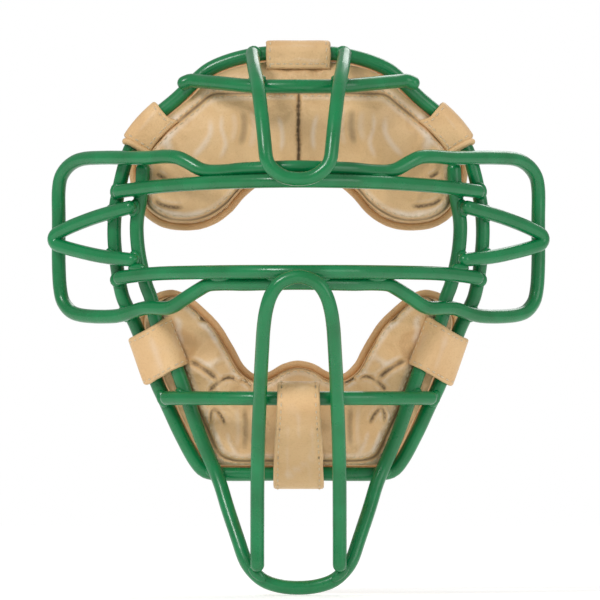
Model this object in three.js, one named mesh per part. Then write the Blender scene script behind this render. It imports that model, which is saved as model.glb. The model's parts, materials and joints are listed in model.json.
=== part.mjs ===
// Catcher's mask: a cage of bent round wire, two leather pads behind it, and six leather straps
// that hold the pads to the cage. Each strap is sewn to a pad, passes over the wires and closes
// with hook-and-loop on the pad's side wall, so its flap opens.
//
// Frame, in millimetres: X to the right seen from the front, Y back toward the wearer, Z up.
// The origin is the centre of the eye opening. "left" and "right" are as seen from the front.

import * as THREE from 'three';

// ---- Driving dimensions ------------------------------------------------------------------

const WIRE_DIAMETER = 7.0; // 1/4 in steel rod and its coating
const WIRE_RADIUS = WIRE_DIAMETER / 2;
const WIRE_PITCH = 7.3; // centre distance of two wires that cross
const WIRE_SIDES = 8;

const RING_HALF_WIDTH = 92.3; // of the rear ring, at eye height
const RING_WRAP = 13; // how far the ring's sides lie behind its top
const FRONT_DEPTH = 62; // how far the eye bars stand forward of the ring's top
const FRONT_RADIUS = 48; // half-width of the eye bars' rounded middle
const FRONT_SLOPE = 1.2084; // how steeply their ends run back
const MOUTH_DEPTH = 36; // the mouth bar's middle
const MOUTH_SIDE = 55.3; // where it crosses the inner side wires
const MOUTH_RISE = 23.3; // how far it has run back there

const LEATHER = 1.6; // the pads' covers
const WALL_INSET = 4.2; // from the pad's outline, the ring's line, to its side wall
const GAP = 0.3;
const FOAM_GAP = 0.8; // between the cover and the foam inside it
const WELT_RADIUS = 1.9;
const WELT_INSET = 1.95;
const WELT_SET_BACK = 0.5; // its centre lies this far behind the wall's back edge
const WELT_SIDES = 6;
const FOAM_BACK = -0.1; // the foam's back face, from the wall's back edge

const STRAP = 2.5; // strap thickness
const STRAP_RADIUS = 5.05; // its middle line round a wire
const CHIN_RING_RADIUS = 6.5; // the chin strap lies looser
const CHIN_BAR_RADIUS = 7.5;
const PATCH = 0.9; // hook or loop tape
const PATCH_START = 10; // how far behind the ring a tape begins
const TAPE_GAP = 0.45; // between the loop tape and the wall it is sewn to
const TAPE_MARGIN = 1.5; // from the strap's long edges to the tape
const TAPE_END_MARGIN = 2;
const HOOK_GAP = 0.25; // between a flap and the hook tape sewn to it
const FLAP_REACH = 23; // how far a flap reaches behind the ring
const CHIN_REACH = 20;
const FLAP_TURN = 48; // degrees that a flap turns round the back of its wire
const FLAP_EASE = 2.5; // then it straightens over this distance
const FLAP_LINE = -0.1; // and its middle line runs back this far from the wire's centre line

const GREEN = 0x04804a;
const TAN = 0xd0ac7c;
const DARK_TAN = 0xb08a5c;
const TAPE = 0x8a6b45;
const FOAM = 0xe6dfd0;

// ---- Depth of the cage's surfaces ---------------------------------------------------------

const ringY = (x) => RING_WRAP * (x / RING_HALF_WIDTH) ** 2;
const onRing = (x) => ringY(x) - WIRE_PITCH;
const frontY = (x) => FRONT_SLOPE * (Math.hypot(x, FRONT_RADIUS) - FRONT_RADIUS) - FRONT_DEPTH;
const mouthY = (x) => MOUTH_RISE * (x / MOUTH_SIDE) ** 2 - MOUTH_DEPTH;

const { smoothstep, lerp, degToRad } = THREE.MathUtils;

// ---- Lofting ------------------------------------------------------------------------------

// A closed solid through rows of points. Each row is a closed loop whose first half faces its
// second half, as the two edges of a band do, so its end caps are strips between the halves.
function loft(rows, closed = false) {
  const count = rows[0].length;
  const faces = [];
  const quad = (a, b, c, d) => faces.push([a, b, c], [a, c, d]);
  const strips = closed ? rows.length : rows.length - 1;
  for (let i = 0; i < strips; i++) {
    const here = i * count;
    const next = ((i + 1) % rows.length) * count;
    for (let j = 0; j < count; j++) {
      const k = (j + 1) % count;
      quad(here + j, next + j, next + k, here + k);
    }
  }
  if (!closed) {
    const last = (rows.length - 1) * count;
    for (let j = 0; j < count / 2 - 1; j++) {
      const [a, b, c, d] = [j, j + 1, count - 2 - j, count - 1 - j];
      quad(a, b, c, d);
      quad(last + d, last + c, last + b, last + a);
    }
  }
  const points = rows.flat();
  const volume = faces.reduce((sum, [a, b, c]) => {
    return sum + points[a].dot(points[b].clone().cross(points[c]));
  }, 0);
  const index = faces.flatMap((face) => (volume < 0 ? face.toReversed() : face));
  const geometry = new THREE.BufferGeometry().setFromPoints(points);
  geometry.setIndex(index);
  geometry.computeVertexNormals();
  return geometry;
}

const mirrored = (p) => new THREE.Vector3(-p.x, p.y, p.z);
const mirrorRows = (rows) => rows.map((row) => row.map(mirrored));

// ---- Wires --------------------------------------------------------------------------------

const BEND_STEP = degToRad(16); // a wire gets a new section each time it has turned this far,
const CHORD_ERROR = 0.2; // or a straight piece would cut its bend by more than this
const FINE_STEPS = 500;

// The curve's points from parameter a to b, close together only where it bends.
function bendPoints(curve, a, b) {
  const fine = [];
  for (let i = 0; i <= FINE_STEPS; i++) fine.push(curve.getPointAt(lerp(a, b, i / FINE_STEPS)));
  const kept = [fine[0]];
  let turned = 0;
  let run = 0;
  for (let i = 1; i < FINE_STEPS; i++) {
    const before = fine[i].clone().sub(fine[i - 1]);
    const after = fine[i + 1].clone().sub(fine[i]);
    turned += before.angleTo(after);
    run += before.length();
    if (turned < BEND_STEP && (turned * run) / 8 < CHORD_ERROR) continue;
    kept.push(fine[i]);
    turned = 0;
    run = 0;
  }
  const end = fine.at(-1);
  if (kept.at(-1).distanceTo(end) < WIRE_RADIUS && kept.length > 2) kept.pop();
  return [...kept, end];
}

const NEAR_DEPTH = 0.3; // a wire that starts this nearly along Y takes its first normal from X

// A round tube through the points, its section carried along without twisting.
function tube(points, closed, radius = WIRE_RADIUS, sides = WIRE_SIDES) {
  const count = points.length;
  const at = (i) => points[closed ? (i + count) % count : THREE.MathUtils.clamp(i, 0, count - 1)];
  const tangents = points.map((_, i) => at(i + 1).clone().sub(at(i - 1)).normalize());
  const side = new THREE.Vector3(0, 1, 0).cross(tangents[0]);
  if (side.length() < NEAR_DEPTH) side.set(1, 0, 0);
  const normals = [side.normalize()];
  for (let i = 1; i < count; i++) {
    const turn = new THREE.Quaternion().setFromUnitVectors(tangents[i - 1], tangents[i]);
    normals.push(normals[i - 1].clone().applyQuaternion(turn));
  }
  const section = (i) => {
    const across = tangents[i].clone().cross(normals[i]);
    return Array.from({ length: sides }, (_, j) => {
      const angle = ((j + 0.5) / sides) * 2 * Math.PI;
      return points[i].clone()
        .addScaledVector(normals[i], radius * Math.cos(angle))
        .addScaledVector(across, radius * Math.sin(angle));
    });
  };
  return loft(points.map((_, i) => section(i)), closed);
}

const spline = (points, closed) => new THREE.CatmullRomCurve3(points, closed, 'centripetal');

// Half of a symmetric wire, from the middle plane outward; x, z and the depth of each point.
const half = (list, depth) => list.map(([x, z, y]) => new THREE.Vector3(x, y ?? depth(x, z), z));

// A wire that crosses the middle plane once.
function symmetricWire(right) {
  const curve = spline([...right.slice(1).toReversed().map(mirrored), ...right], false);
  const bends = bendPoints(curve, 0.5, 1);
  return tube([...bends.slice(1).toReversed().map(mirrored), ...bends], false);
}

const symmetricRing = (right) => {
  return spline([...right, ...right.slice(1, -1).toReversed().map(mirrored)], true);
};

// A closed wire: its right half runs from the middle plane at the top to the middle plane below.
function symmetricLoop(right) {
  const bends = bendPoints(symmetricRing(right), 0, 0.5);
  return tube([...bends, ...bends.slice(1, -1).toReversed().map(mirrored)], true);
}

const RING = half([
  [0, 87.5], [17.75, 87.25], [29.25, 85.25], [39.25, 82], [46.75, 78], [57.75, 67.5],
  [64.75, 61.5], [76, 51.5], [84.5, 39], [88, 26.5], [91, 14], [92.3, -2], [90.75, -20],
  [88.75, -31], [87.5, -36], [82.5, -46], [80.5, -51], [69.5, -81], [64.5, -91], [60, -101],
  [54.75, -111], [50.25, -118.5], [46.8, -121.6], [42, -122.75], [0, -122.75],
], ringY);

const THROAT = half([
  [0, -179.5, -26.9], [9, -178.7, -26.9], [18, -175.5, -26.9], [25.3, -168, -25.8],
  [29.3, -158, -22], [33.25, -146, -16], [36.75, -136, -11], [39.75, -126, -6.5],
  [43, -118.5], [46.25, -111], [50.25, -101], [53.5, -91], [57, -81], [59.5, -73.5],
  [65.4, -60], [71.5, -46], [73.5, -36], [75.5, -31], [79.75, -13.5], [80.5, -6], [81, 1.5],
  [79, 14], [77.75, 26.5], [77.5, 33],
], onRing);

// The ear-guard loop lies on the cage's front surface, set back a little where it runs beside
// the eye bars and, below, as far as the ring.
const loopY = (x, z) => {
  const beside = z > 0 ? 4.7 * (1 - smoothstep(x, 48, 62)) : 5.4 - 2 * smoothstep(x, 45, 60);
  const outer = z > 0 ? 0 : smoothstep(x, 84, 100);
  return frontY(x) + beside * (1 - outer);
};

const LOOP_CORNER = 15;
const LOOP_SIDE = 120.25;
const LOOP_TOP = 35;
const upperCorner = [67.5, 45, 22.5].map((angle) => [
  LOOP_SIDE - LOOP_CORNER + LOOP_CORNER * Math.cos(degToRad(angle)),
  LOOP_TOP - LOOP_CORNER + LOOP_CORNER * Math.sin(degToRad(angle)),
]);

const EAR_LOOP = half([
  [0, 30], [24.25, 29.25], [46.75, 28.5], [60.25, LOOP_TOP], [77.5, LOOP_TOP],
  [LOOP_SIDE - LOOP_CORNER, LOOP_TOP], ...upperCorner, [LOOP_SIDE, LOOP_TOP - LOOP_CORNER],
  [LOOP_SIDE, 0], [LOOP_SIDE, -20], [119.5, -31], [118.2, -36.5], [114.3, -41.6], [108, -43.75],
  [89.25, -43.75], [79.25, -40.5], [74.25, -39.75], [69.25, -40.25], [63.25, -39.5],
  [57.75, -36], [49.25, -30.75], [45.25, -28.5], [24.25, -28], [0, -27.5],
], loopY);

const UPPER_EYE_BAR = half([
  [0, 23.25], [24.25, 23], [49.25, 22.1], [69.25, 20.75], [86.75, 18.75], [92, 18],
], frontY);

const LOWER_EYE_BAR = half([
  [0, -22], [24.25, -22], [49.25, -22.25], [69.25, -22.75], [79.25, -23.5], [86.75, -24.5],
  [91.5, -25.4],
], frontY);

const FOREHEAD_BAR = half([
  [0, 70.5, -34], [24.25, 70.75, -29], [36.75, 72, -19.5], [49.25, 73.25, -7.2],
  [54.25, 73.6, -3.7], [60.3, 71, -2.8],
]);

const MOUTH_BAR = half([[0, -85], [28, -85], [MOUTH_SIDE, -85], [68.25, -85]], mouthY);

const BROW_HOOP = half([
  [0, 24.1, -69.3], [6.2, 24.9, -69.3], [11.9, 28.1, -69.2], [15.5, 32.8, -68.8],
  [16.5, 39, -67.3], [17.4, 48, -63.5],
  [18.8, 60, -56], [20.3, 70.9, -44.8], [21.8, 78.5, -31.5], [22.7, 84, -17.5], [23.2, 88, -6.9],
]);

const NOSE_HOOP = half([
  [0, -24.3, -69.3], [6.2, -25.8, -69.3], [10.2, -28.4, -69.2], [13.2, -32.6, -68.8],
  [15.2, -37.6, -67.9], [16.9, -46, -65.5], [17.9, -58.5, -59.8], [18.75, -73.5, -50.5], [19.2, -85, -43], [19.9, -101, -38.2],
  [20.4, -122, -35.5], [20.5, -146, -34.4], [20.5, -171.5, -34.4],
]);

// The V over each ear lies straight from the inner side wire to the ear-guard loop's side.
const V_END = { x: 81.75, y: -5.2 };
const V_APEX = { x: 122.5, y: 29.4 };
const vY = (x) => lerp(V_END.y, V_APEX.y, (x - V_END.x) / (V_APEX.x - V_END.x));
const TEMPLE_V = half([
  [V_END.x, 11], [99.25, 6.25], [111.75, 1.75], [119.25, -1.75], [121.7, -3.4],
  [V_APEX.x, -5.5], [121.7, -7.6], [119.25, -9], [111.75, -11], [99.25, -14], [86.75, -15.6],
  [80.5, -16.2],
], vY);
const TEMPLE_BENDS = bendPoints(spline(TEMPLE_V, false), 0, 1);

// ---- Pads ---------------------------------------------------------------------------------

const PAD_STATIONS = 27;

// A pad's outline as a closed loop: its outer edge from left to right, then its inner edge back.
function outline(outerHalf, innerHalf) {
  const edge = (list) => {
    const right = half(list, () => 0);
    return spline([...right.slice(1).toReversed().map(mirrored), ...right], false);
  };
  const outer = edge(outerHalf);
  const inner = edge(innerHalf);
  const step = (i) => i / (PAD_STATIONS - 1);
  const tip = 0.036; // the inner edge's points stop just short of the two tips
  const outerPoints = Array.from({ length: PAD_STATIONS }, (_, i) => outer.getPointAt(step(i)));
  const innerPoints = Array.from({ length: PAD_STATIONS }, (_, i) => {
    return inner.getPointAt(lerp(1 - tip, tip, step(i)));
  });
  return [...outerPoints, ...innerPoints];
}

const BEND_SHARE = 0.8; // of a tight outward bend's radius, the most that an inset takes

// The outline moved inward, but never past the centre of a tight outward bend.
function inset(points, distance) {
  const count = points.length;
  const turn = Math.sign(points.reduce((area, point, i) => {
    const next = points[(i + 1) % count];
    return area + point.z * next.x - point.x * next.z;
  }, 0));
  return points.map((point, i) => {
    const before = points[(i + count - 1) % count];
    const after = points[(i + 1) % count];
    const chord = after.clone().sub(before);
    const inward = new THREE.Vector3(chord.z, 0, -chord.x).normalize().multiplyScalar(turn);
    const bulge = point.clone().sub(before).add(point).sub(after).dot(inward) / -2;
    const radius = bulge > 0 ? chord.lengthSq() / (8 * bulge) : Infinity;
    return point.clone().addScaledVector(inward, Math.min(distance, BEND_SHARE * radius));
  });
}

// One closed row of a pad's solid: the outline at an inset, at its own depth. "inner" is 0 on
// the pad's outer edge and 1 on its inner edge.
function padRow(pad, distance, depth) {
  return inset(pad.outline, distance).map((point, i) => {
    const inner = i < PAD_STATIONS ? 0 : 1;
    return new THREE.Vector3(point.x, depth(Math.abs(point.x), point.z, inner), point.z);
  });
}

// Rows of the pad's front surface, from the wall's front edge to the crown, moved in by "skin".
function frontRows(pad, skin) {
  return pad.front.map(([distance, depth]) => {
    return padRow(pad, distance + skin, (x, z, inner) => depth(x, z, inner) + skin);
  });
}

function padSolids(pad) {
  const back = (extra) => (x) => pad.back(x) + extra;
  const skin = LEATHER;
  const foam = LEATHER + FOAM_GAP;
  const plate = [
    padRow(pad, WALL_INSET, back(GAP)),
    padRow(pad, WALL_INSET, back(GAP + LEATHER)),
  ];
  const seam = inset(pad.outline, WELT_INSET).map((point) => {
    return new THREE.Vector3(point.x, pad.back(Math.abs(point.x)) + WELT_SET_BACK, point.z);
  });
  return {
    foam: loft([
      padRow(pad, WALL_INSET + foam, back(FOAM_BACK)),
      ...frontRows(pad, foam),
    ]),
    front_cover: loft([
      ...frontRows(pad, 0).toReversed(),
      padRow(pad, WALL_INSET, back(0)),
      padRow(pad, WALL_INSET + skin, back(0)),
      ...frontRows(pad, skin),
    ]),
    back_cover: loft(plate),
    welt: tube(seam, true, WELT_RADIUS, WELT_SIDES),
  };
}

const FLAT_HALF = 16; // the flat middle of each pad's back

const FOREHEAD_PAD = {
  outline: outline(
    [
      [0, 87.5], [17.75, 87.25], [29.25, 85.25], [39.25, 82], [46.75, 78], [57.75, 67.5],
      [64.75, 61.5], [76, 51.5], [83.5, 39], [85, 26], [79.5, 9], [70, 1.2], [58, -1.25],
    ],
    [
      [0, 23], [12, 22.7], [20, 21], [27, 15.5], [33, 8.5], [40, 3], [48, -0.3], [58, -1.25],
    ],
  ),
  back: (x) => 26 + 20 * (Math.max(0, x - FLAT_HALF) / 64) ** 2,
  front: [
    [WALL_INSET, (x, z, inner) => ringY(x) - 1 - 4.5 * inner * (1 - smoothstep(x, 50, 66))],
    [10.8, (x, z, inner) => ringY(x) - 3.2 - 3 * inner * (1 - smoothstep(x, 50, 66))],
    [16.5, (x) => ringY(x) - 8],
  ],
};

const CHIN_PAD = {
  outline: outline(
    [
      [0, -122.75], [35, -122.75], [43, -122.3], [48.5, -119.7], [54.75, -111], [64.5, -91],
      [69.5, -81], [75.5, -64.5], [80.5, -51], [80.6, -44], [77.2, -37.2], [71.5, -32.7],
      [63.25, -30.75],
    ],
    [
      [0, -66.25], [8, -68], [15, -72], [21, -73.3], [27, -69], [33, -58.5], [40, -47.5],
      [48, -39.5], [56, -33.3], [63.25, -30.75],
    ],
  ),
  back: (x) => 24 + 16 * (Math.max(0, x - FLAT_HALF) / 64) ** 2,
  front: [
    [WALL_INSET, (x, z, inner) => ringY(x) - 1 - 5 * inner * (1 - smoothstep(x, 20, 60))],
    [10, (x) => ringY(x) - 2.8 - 4 * (1 - smoothstep(x, 15, 40))],
    [13.6, (x) => ringY(x) - 3.4 - 7 * (1 - smoothstep(x, 15, 42))],
  ],
};

// ---- Straps -------------------------------------------------------------------------------

const RING_CURVE = symmetricRing(RING);
const RING_LENGTH = RING_CURVE.getLength();
const SIDE_CURVE = spline(THROAT, false);
const SIDE_LOOSE = 0.15;

// The place on the ring's right half nearest to x, z, as a fraction of its length.
function ringPlace(x, z) {
  const target = new THREE.Vector3(x, ringY(x), z);
  let best = 0;
  for (let i = 0; i <= FINE_STEPS; i++) {
    const u = i / FINE_STEPS / 2;
    const closer = RING_CURVE.getPointAt(u).distanceTo(target) <
      RING_CURVE.getPointAt(best).distanceTo(target);
    if (closer) best = u;
  }
  return best;
}

// The ring's point, its direction and the outward direction across it.
function ringFrame(u) {
  const wrapped = (u + 1) % 1;
  const centre = RING_CURVE.getPointAt(wrapped);
  const along = RING_CURVE.getTangentAt(wrapped);
  const out = new THREE.Vector3(-along.z, 0, along.x).normalize();
  return { centre, along, out };
}

// Sections are drawn across a wire: n is outward from the ring's centre, b is backward.

// The middle line of a strap pulled tight round circles, all passed on their forward side.
function pulledRound(start, circles, endAngle) {
  const stops = [{ n: start.n, b: start.b, r: 0 }, ...circles];
  const direction = (from, to) => {
    const [dn, db] = [to.n - from.n, to.b - from.b];
    return Math.atan2(db, dn) - Math.asin((to.r - from.r) / Math.hypot(dn, db));
  };
  const path = [start];
  for (let i = 1; i < stops.length; i++) {
    const from = direction(stops[i - 1], stops[i]) - Math.PI / 2;
    const last = i === stops.length - 1;
    let to = last ? endAngle : direction(stops[i], stops[i + 1]) - Math.PI / 2;
    while (to < from) to += 2 * Math.PI;
    path.push(...arc(stops[i], from, to));
  }
  return path;
}

const ARC_STEPS = 4;

function arc({ n, b, r }, from, to) {
  return Array.from({ length: ARC_STEPS + 1 }, (_, i) => {
    const angle = lerp(from, to, i / ARC_STEPS);
    const out = { n: Math.cos(angle), b: Math.sin(angle) };
    return { n: n + r * out.n, b: b + r * out.b, out };
  });
}

// The closed outline of a strap of even thickness along a middle line.
function ribbon(path, thickness) {
  const sides = [1, -1].map((sign) => path.map((point, i) => {
    const before = path[Math.max(0, i - 1)];
    const after = path[Math.min(path.length - 1, i + 1)];
    const [dn, db] = [after.n - before.n, after.b - before.b];
    const length = Math.hypot(dn, db);
    const out = point.out ?? { n: db / length, b: -dn / length };
    const shift = (sign * thickness) / 2;
    return { n: point.n + out.n * shift, b: point.b + out.b * shift };
  }));
  return [...sides[0], ...sides[1].toReversed()];
}

const slab = (n0, n1, b0, b1) => [
  { n: n0, b: b0 }, { n: n0, b: b1 }, { n: n1, b: b1 }, { n: n1, b: b0 },
];

// Rows of sections along the ring, over "halfWidth" each way from a place on it. The section is
// a function of the ring's frame there.
function alongRing(section, place, halfWidth, steps = 4) {
  return Array.from({ length: steps + 1 }, (_, i) => {
    const offset = lerp(-halfWidth, halfWidth, i / steps);
    const frame = ringFrame(place + offset / RING_LENGTH);
    return section(frame).map(({ n, b }) => {
      return frame.centre.clone().addScaledVector(frame.out, n).add(new THREE.Vector3(0, b, 0));
    });
  });
}

// Where the inner side wire crosses the ring's section plane, as a circle for a strap.
function sideWireCircle({ centre, along, out }) {
  let nearest = null;
  let least = Infinity;
  for (let i = 0; i <= FINE_STEPS; i++) {
    const offset = SIDE_CURVE.getPointAt(i / FINE_STEPS).sub(centre);
    const off = Math.abs(offset.dot(along));
    if (off >= least) continue;
    least = off;
    nearest = { n: offset.dot(out), b: offset.y, r: STRAP_RADIUS + SIDE_LOOSE };
  }
  return nearest;
}

const START_ANGLE = 0.04; // a flap starts just behind the outermost line of its wire
const END_ANGLE = -0.05; // and the sewn part ends just in front of it

// The flap goes round the back of the wire and then straight back beside the pad's wall.
function flapPath(radius, reach) {
  return [
    ...arc({ n: 0, b: 0, r: radius }, START_ANGLE, degToRad(FLAP_TURN)),
    { n: FLAP_LINE, b: radius + FLAP_EASE },
    { n: FLAP_LINE, b: reach },
  ];
}

const loopTape = (reach) => {
  const face = -WALL_INSET + TAPE_GAP;
  return slab(face, face + PATCH, PATCH_START, reach - TAPE_END_MARGIN);
};
const hookTape = (reach) => {
  const outerFace = FLAP_LINE - STRAP / 2 - HOOK_GAP;
  return slab(outerFace - PATCH, outerFace, PATCH_START, reach - TAPE_END_MARGIN);
};

const ringWire = () => ({ n: 0, b: 0, r: STRAP_RADIUS });

function ringStrap(x, z, halfWidth, start, wires, reach = FLAP_REACH) {
  const place = ringPlace(x, z);
  const { centre, along, out } = ringFrame(place);
  const sweep = (section, inFrom = 0) => alongRing(section, place, halfWidth - inFrom);
  const strapSection = (frame) => {
    const circles = wires.map((wire) => wire(frame));
    return ribbon(pulledRound(start, circles, END_ANGLE), STRAP);
  };
  return {
    strap: sweep(strapSection),
    flap: sweep(() => ribbon(flapPath(STRAP_RADIUS, reach), STRAP)),
    loop: sweep(() => loopTape(reach), TAPE_MARGIN),
    hook: sweep(() => hookTape(reach), TAPE_MARGIN),
    hinge: centre.clone().addScaledVector(out, STRAP_RADIUS + STRAP / 2),
    axis: along,
  };
}

// The chin strap widens downward, so its rows are laid out by height instead of along the ring.
const CHIN_RING_Z = -122.75;
const CHIN_BAR = { n: 85 + CHIN_RING_Z, b: -MOUTH_DEPTH, r: CHIN_BAR_RADIUS };
const CHIN_TOP_HALF = 10.5;
const CHIN_BOTTOM_HALF = 12.5;

function chinRows(section, inFrom = 0) {
  const topN = CHIN_BAR.n - CHIN_BAR_RADIUS;
  return [-1, -0.5, 0, 0.5, 1].map((side) => section.map(({ n, b }) => {
    const halfWidth = lerp(CHIN_TOP_HALF, CHIN_BOTTOM_HALF, smoothstep(n, topN, 0)) - inFrom;
    const x = side * halfWidth;
    return new THREE.Vector3(x, b + ringY(x), CHIN_RING_Z - n);
  }));
}

function chinStrap() {
  const sewn = { n: -27, b: -13 };
  const wires = [CHIN_BAR, { n: 0, b: 0, r: CHIN_RING_RADIUS }];
  return {
    strap: chinRows(ribbon(pulledRound(sewn, wires, END_ANGLE), STRAP)),
    flap: chinRows(ribbon(flapPath(CHIN_RING_RADIUS, CHIN_REACH), STRAP)),
    loop: chinRows(loopTape(CHIN_REACH), TAPE_MARGIN),
    hook: chinRows(hookTape(CHIN_REACH), TAPE_MARGIN),
    hinge: new THREE.Vector3(0, 0, CHIN_RING_Z - CHIN_RING_RADIUS - STRAP / 2),
    axis: new THREE.Vector3(-1, 0, 0),
  };
}

// The lower straps pass over the inner side wire as well as the ring.
const RIGHT_STRAPS = {
  upper: ringStrap(76, 51.5, 11, { n: -9.6, b: -6.3 }, [ringWire]),
  lower: ringStrap(75.8, -62.6, 12.5, { n: -17.6, b: -8.4 }, [sideWireCircle, ringWire]),
};

const STRAPS = {
  top: ringStrap(0, 87.5, 16.4, { n: -8, b: -STRAP_RADIUS }, [ringWire]),
  chin: chinStrap(),
};
for (const [name, strap] of Object.entries(RIGHT_STRAPS)) {
  STRAPS[`${name}_right`] = strap;
  STRAPS[`${name}_left`] = {
    strap: mirrorRows(strap.strap),
    flap: mirrorRows(strap.flap),
    loop: mirrorRows(strap.loop),
    hook: mirrorRows(strap.hook),
    hinge: mirrored(strap.hinge),
    axis: mirrored(strap.axis).negate(),
  };
}

// ---- The scene graph ----------------------------------------------------------------------

const finish = (color, roughness, metalness = 0) => {
  return new THREE.MeshStandardMaterial({ color, roughness, metalness });
};
const wireFinish = finish(GREEN, 0.3, 0.2);
const leatherFinish = finish(TAN, 0.55);
const weltFinish = finish(DARK_TAN, 0.6);
const tapeFinish = finish(TAPE, 0.95);
const foamFinish = finish(FOAM, 1);

const mask = new THREE.Group();

function add(parent, name, geometry, material) {
  const mesh = new THREE.Mesh(geometry, material);
  mesh.name = name;
  parent.add(mesh);
}

const cage = new THREE.Group();
mask.add(cage);
add(cage, 'rear_ring', symmetricLoop(RING), wireFinish);
add(cage, 'throat_loop', symmetricWire(THROAT), wireFinish);
add(cage, 'ear_guard_loop', symmetricLoop(EAR_LOOP), wireFinish);
add(cage, 'upper_eye_bar', symmetricWire(UPPER_EYE_BAR), wireFinish);
add(cage, 'lower_eye_bar', symmetricWire(LOWER_EYE_BAR), wireFinish);
add(cage, 'forehead_bar', symmetricWire(FOREHEAD_BAR), wireFinish);
add(cage, 'mouth_bar', symmetricWire(MOUTH_BAR), wireFinish);
add(cage, 'brow_hoop', symmetricWire(BROW_HOOP), wireFinish);
add(cage, 'nose_hoop', symmetricWire(NOSE_HOOP), wireFinish);
add(cage, 'temple_v_right', tube(TEMPLE_BENDS, false), wireFinish);
add(cage, 'temple_v_left', tube(TEMPLE_BENDS.map(mirrored), false), wireFinish);

const padFinishes = {
  foam: foamFinish, front_cover: leatherFinish, back_cover: leatherFinish, welt: weltFinish,
};
for (const [name, pad] of Object.entries({ forehead: FOREHEAD_PAD, chin: CHIN_PAD })) {
  for (const [piece, geometry] of Object.entries(padSolids(pad))) {
    add(mask, `${name}_pad_${piece}`, geometry, padFinishes[piece]);
  }
}

// Each flap hangs in a group of its own at its hinge line, whose direction the group's
// X axis takes.
for (const [name, strap] of Object.entries(STRAPS)) {
  add(mask, `${name}_strap`, loft(strap.strap), leatherFinish);
  add(mask, `${name}_loop_patch`, loft(strap.loop), tapeFinish);
  const hinge = new THREE.Group();
  hinge.name = `${name}_hinge`;
  hinge.position.copy(strap.hinge);
  hinge.quaternion.setFromUnitVectors(new THREE.Vector3(1, 0, 0), strap.axis);
  mask.add(hinge);
  hinge.updateMatrixWorld(true);
  const intoHinge = hinge.matrixWorld.clone().invert();
  const moving = { strap_flap: [strap.flap, leatherFinish], hook_patch: [strap.hook, tapeFinish] };
  for (const [piece, [rows, material]] of Object.entries(moving)) {
    add(hinge, `${name}_${piece}`, loft(rows).applyMatrix4(intoHinge), material);
  }
}

export default mask;
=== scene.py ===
"""The looks of a catcher's mask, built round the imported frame.

Shapes are worked out in millimetres and become metres when a mesh is made. X is to the right seen
from the front, Y back toward the wearer and Z up. "right" and "left" are as seen from the front.
"""

import json
import math

import bmesh
import bpy
import numpy as np
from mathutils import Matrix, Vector, geometry, noise
from mathutils.bvhtree import BVHTree


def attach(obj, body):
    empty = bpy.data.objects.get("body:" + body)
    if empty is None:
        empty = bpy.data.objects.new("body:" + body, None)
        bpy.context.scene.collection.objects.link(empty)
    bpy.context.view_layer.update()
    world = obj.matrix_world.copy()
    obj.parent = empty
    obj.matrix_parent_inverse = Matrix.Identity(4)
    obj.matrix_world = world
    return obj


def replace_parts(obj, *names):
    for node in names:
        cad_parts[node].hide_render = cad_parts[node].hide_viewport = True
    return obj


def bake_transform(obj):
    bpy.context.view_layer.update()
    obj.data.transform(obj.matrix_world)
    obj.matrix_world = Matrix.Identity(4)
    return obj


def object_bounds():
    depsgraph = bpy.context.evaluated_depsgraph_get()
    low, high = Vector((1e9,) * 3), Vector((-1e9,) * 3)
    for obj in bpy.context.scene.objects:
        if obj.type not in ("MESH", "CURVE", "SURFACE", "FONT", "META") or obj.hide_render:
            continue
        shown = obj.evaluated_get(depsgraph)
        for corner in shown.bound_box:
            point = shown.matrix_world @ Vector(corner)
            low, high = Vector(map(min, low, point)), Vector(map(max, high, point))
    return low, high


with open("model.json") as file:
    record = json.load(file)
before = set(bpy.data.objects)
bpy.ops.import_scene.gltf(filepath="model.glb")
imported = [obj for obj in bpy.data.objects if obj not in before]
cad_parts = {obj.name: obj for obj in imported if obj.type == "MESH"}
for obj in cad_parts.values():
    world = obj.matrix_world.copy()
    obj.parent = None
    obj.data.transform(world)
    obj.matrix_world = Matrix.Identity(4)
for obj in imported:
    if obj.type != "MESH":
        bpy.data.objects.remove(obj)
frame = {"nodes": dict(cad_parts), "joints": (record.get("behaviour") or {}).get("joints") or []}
cad_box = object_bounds()

MM = 0.001
TINY = 1e-12  # keeps a division by a length from failing


# ---- Curves

def hermite_span(p0, p1, p2, p3, gaps, steps):
    """Points from p1 up to p2 on a centripetal Catmull-Rom curve. gaps are the knots' distances."""
    d0, d1, d2 = gaps
    m1 = ((p1 - p0) / d0 - (p2 - p0) / (d0 + d1) + (p2 - p1) / d1) * d1
    m2 = ((p2 - p1) / d1 - (p3 - p1) / (d1 + d2) + (p3 - p2) / d2) * d1
    t = (np.arange(steps) / steps)[:, None]
    return (
        (2 * t**3 - 3 * t**2 + 1) * p1 + (t**3 - 2 * t**2 + t) * m1
        + (3 * t**2 - 2 * t**3) * p2 + (t**3 - t**2) * m2
    )


def curve(keys, step, closed=False, measured=3):
    """A smooth line through keys, its points about step apart by their first `measured` values."""
    keys = np.asarray(keys, float)
    if closed:
        around = np.vstack([keys[-1:], keys, keys[:2]])
    else:
        around = np.vstack([2 * keys[0] - keys[1], keys, 2 * keys[-1] - keys[-2]])
    length = np.linalg.norm(np.diff(around[:, :measured], axis=0), axis=1)
    gaps = np.sqrt(np.maximum(length, 1e-6))  # repeated keys have no gap
    parts = []
    for i in range(len(around) - 3):
        steps = max(1, round(length[i + 1] / step))
        parts.append(hermite_span(*around[i:i + 4], gaps[i:i + 3], steps))
    if not closed:
        parts.append(keys[-1:])
    return np.vstack(parts)


def distances(points):
    """How far along an open line each of its points is."""
    return np.concatenate([[0], np.cumsum(np.linalg.norm(np.diff(points, axis=0), axis=1))])


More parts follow.
